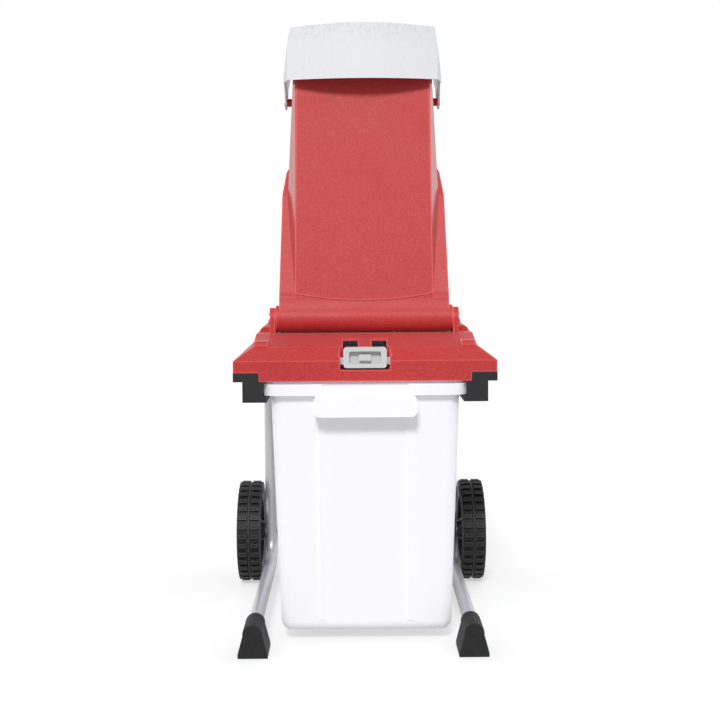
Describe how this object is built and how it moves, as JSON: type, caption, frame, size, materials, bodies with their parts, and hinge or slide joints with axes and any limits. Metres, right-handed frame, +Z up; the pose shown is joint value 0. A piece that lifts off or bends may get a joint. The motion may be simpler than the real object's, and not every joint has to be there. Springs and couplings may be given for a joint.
{
  "type": "garden shredder",
  "caption": "Wheeled garden shredder: leaning red hopper with grey hood on a wide base, tube frame with feet and wheels, pull-out white collection box.",
  "frame": {"origin": "on the floor under the middle of the bounding box", "axes": "+Z up, -Y the way the box is drawn out (the pictured front), +X to the right seen from the front"},
  "size_m": [0.4424, 0.5399, 0.96],
  "materials": {
    "tube_silver": "satin silver paint",
    "black_rubber": "matt moulded rubber",
    "zinc_steel": "bright zinc",
    "black_plastic": "fine grained moulding",
    "tyre": "matt",
    "red_plastic": "grained moulding",
    "milk_plastic": "smooth, faintly see-through",
    "grey_plastic": "satin",
    "drum_iron": "machined casting",
    "gear_steel": "oiled steel",
    "cast_alloy": "die cast",
    "green_plastic": "smooth",
    "stop_red_plastic": "smooth"
  },
  "bodies": {
    "frame": {"frame_tube_left": "tube_silver", "frame_tube_right": "tube_silver", "rear_cross_tube": "tube_silver", "foot_left": "black_rubber", "foot_right": "black_rubber", "axle_bolts": "zinc_steel", "axle_nuts": "zinc_steel", "base_housing": "red_plastic", "chassis_plate": "zinc_steel", "box_rail_left": "black_plastic", "box_rail_right": "black_plastic", "rail_screws": "zinc_steel", "tube_screws": "zinc_steel", "hinge_pins": "zinc_steel", "drum_bearings": "zinc_steel", "bearing_block": "cast_alloy", "gearbox_casing": "cast_alloy", "gearbox_cover": "cast_alloy", "gearbox_screws": "zinc_steel", "layshaft_bearings": "zinc_steel", "motor_can": "zinc_steel", "motor_end_cap": "black_plastic", "motor_stator": "drum_iron", "rotor_bearings": "zinc_steel", "plate_guide": "zinc_steel", "switch_box": "black_plastic", "mains_inlet": "black_plastic", "capacitor": "grey_plastic", "interlock_switch": "black_plastic"},
    "wheel_left": {"wheel_rim_left": "black_plastic", "tyre_left": "tyre", "hub_cap_left": "black_plastic"},
    "wheel_right": {"wheel_rim_right": "black_plastic", "tyre_right": "tyre", "hub_cap_right": "black_plastic"},
    "box": {"collection_box": "milk_plastic"},
    "latch": {"box_latch": "grey_plastic"},
    "hopper": {"hopper_front": "red_plastic", "hopper_rear": "red_plastic", "hopper_screws": "zinc_steel", "hood_pivots": "zinc_steel"},
    "hood": {"hopper_hood": "grey_plastic"},
    "lock": {"lock_knob": "black_plastic"},
    "drum": {"crushing_drum": "drum_iron", "drum_shaft": "zinc_steel", "drum_gear": "gear_steel"},
    "layshaft_set": {"layshaft": "gear_steel", "layshaft_gear": "gear_steel"},
    "rotor": {"motor_rotor": "gear_steel", "cooling_fan": "black_plastic"},
    "plate": {"pressure_plate": "cast_alloy"},
    "adjuster": {"adjusting_screw": "zinc_steel", "adjusting_knob": "black_plastic"},
    "start": {"start_button": "green_plastic"},
    "stop": {"stop_button": "stop_red_plastic"}
  },
  "joints": [
    {"name": "wheel_left_spin", "type": "hinge", "parent": "frame", "child": "wheel_left", "pos_m": [-0.2, 0.18, 0.09], "axis": [1, 0, 0], "continuous": true},
    {"name": "wheel_right_spin", "type": "hinge", "parent": "frame", "child": "wheel_right", "pos_m": [0.2, 0.18, 0.09], "axis": [1, 0, 0], "continuous": true},
    {"name": "box_slide", "type": "slide", "parent": "frame", "child": "box", "axis": [0, -1, 0], "range_m": [0, 0.36]},
    {"name": "latch_slide", "type": "slide", "parent": "frame", "child": "latch", "axis": [0, 0, 1], "range_m": [0, 0.012]},
    {"name": "hopper_tilt", "type": "hinge", "parent": "frame", "child": "hopper", "pos_m": [0.0055, -0.115, 0.494], "axis": [1, 0, 0], "range_deg": [0, 85]},
    {"name": "hood_tilt", "type": "hinge", "parent": "hopper", "child": "hood", "pos_m": [0.0055, 0.00811, 0.847], "axis": [-1, 0, 0], "range_deg": [0, 90]},
    {"name": "lock_turn", "type": "hinge", "parent": "hopper", "child": "lock", "pos_m": [0.0055, 0.222, 0.5], "axis": [0, 0, 1], "range_deg": [0, 1080]},
    {"name": "drum_spin", "type": "hinge", "parent": "frame", "child": "drum", "pos_m": [0.0055, -0.032, 0.472], "axis": [1, 0, 0], "continuous": true},
    {"name": "layshaft_spin", "type": "hinge", "parent": "frame", "child": "layshaft_set", "pos_m": [0.0805, 0.02616, 0.51272], "axis": [1, 0, 0], "continuous": true},
    {"name": "rotor_spin", "type": "hinge", "parent": "frame", "child": "rotor", "pos_m": [0.0055, 0.08084, 0.55101], "axis": [1, 0, 0], "continuous": true},
    {"name": "adjust_turn", "type": "hinge", "parent": "frame", "child": "adjuster", "pos_m": [0.0055, 0.2, 0.444], "axis": [0, 1, 0], "range_deg": [0, 1440]},
    {"name": "plate_slide", "type": "slide", "parent": "frame", "child": "plate", "axis": [0, 1, 0], "range_m": [0, 0.008]},
    {"name": "start_press", "type": "slide", "parent": "frame", "child": "start", "axis": [0, -1, 0], "range_m": [0, 0.003], "stiffness_N_per_m": 600},
    {"name": "stop_press", "type": "slide", "parent": "frame", "child": "stop", "axis": [0, -1, 0], "range_m": [0, 0.003], "stiffness_N_per_m": 600}
  ],
  "couplings": [
    {"joint": "layshaft_spin", "follows": "drum_spin", "ratio": -3.1765},
    {"joint": "rotor_spin", "follows": "drum_spin", "ratio": 13.453},
    {"joint": "adjust_turn", "follows": "plate_slide", "rad_per_m": 3141.6}
  ]
}
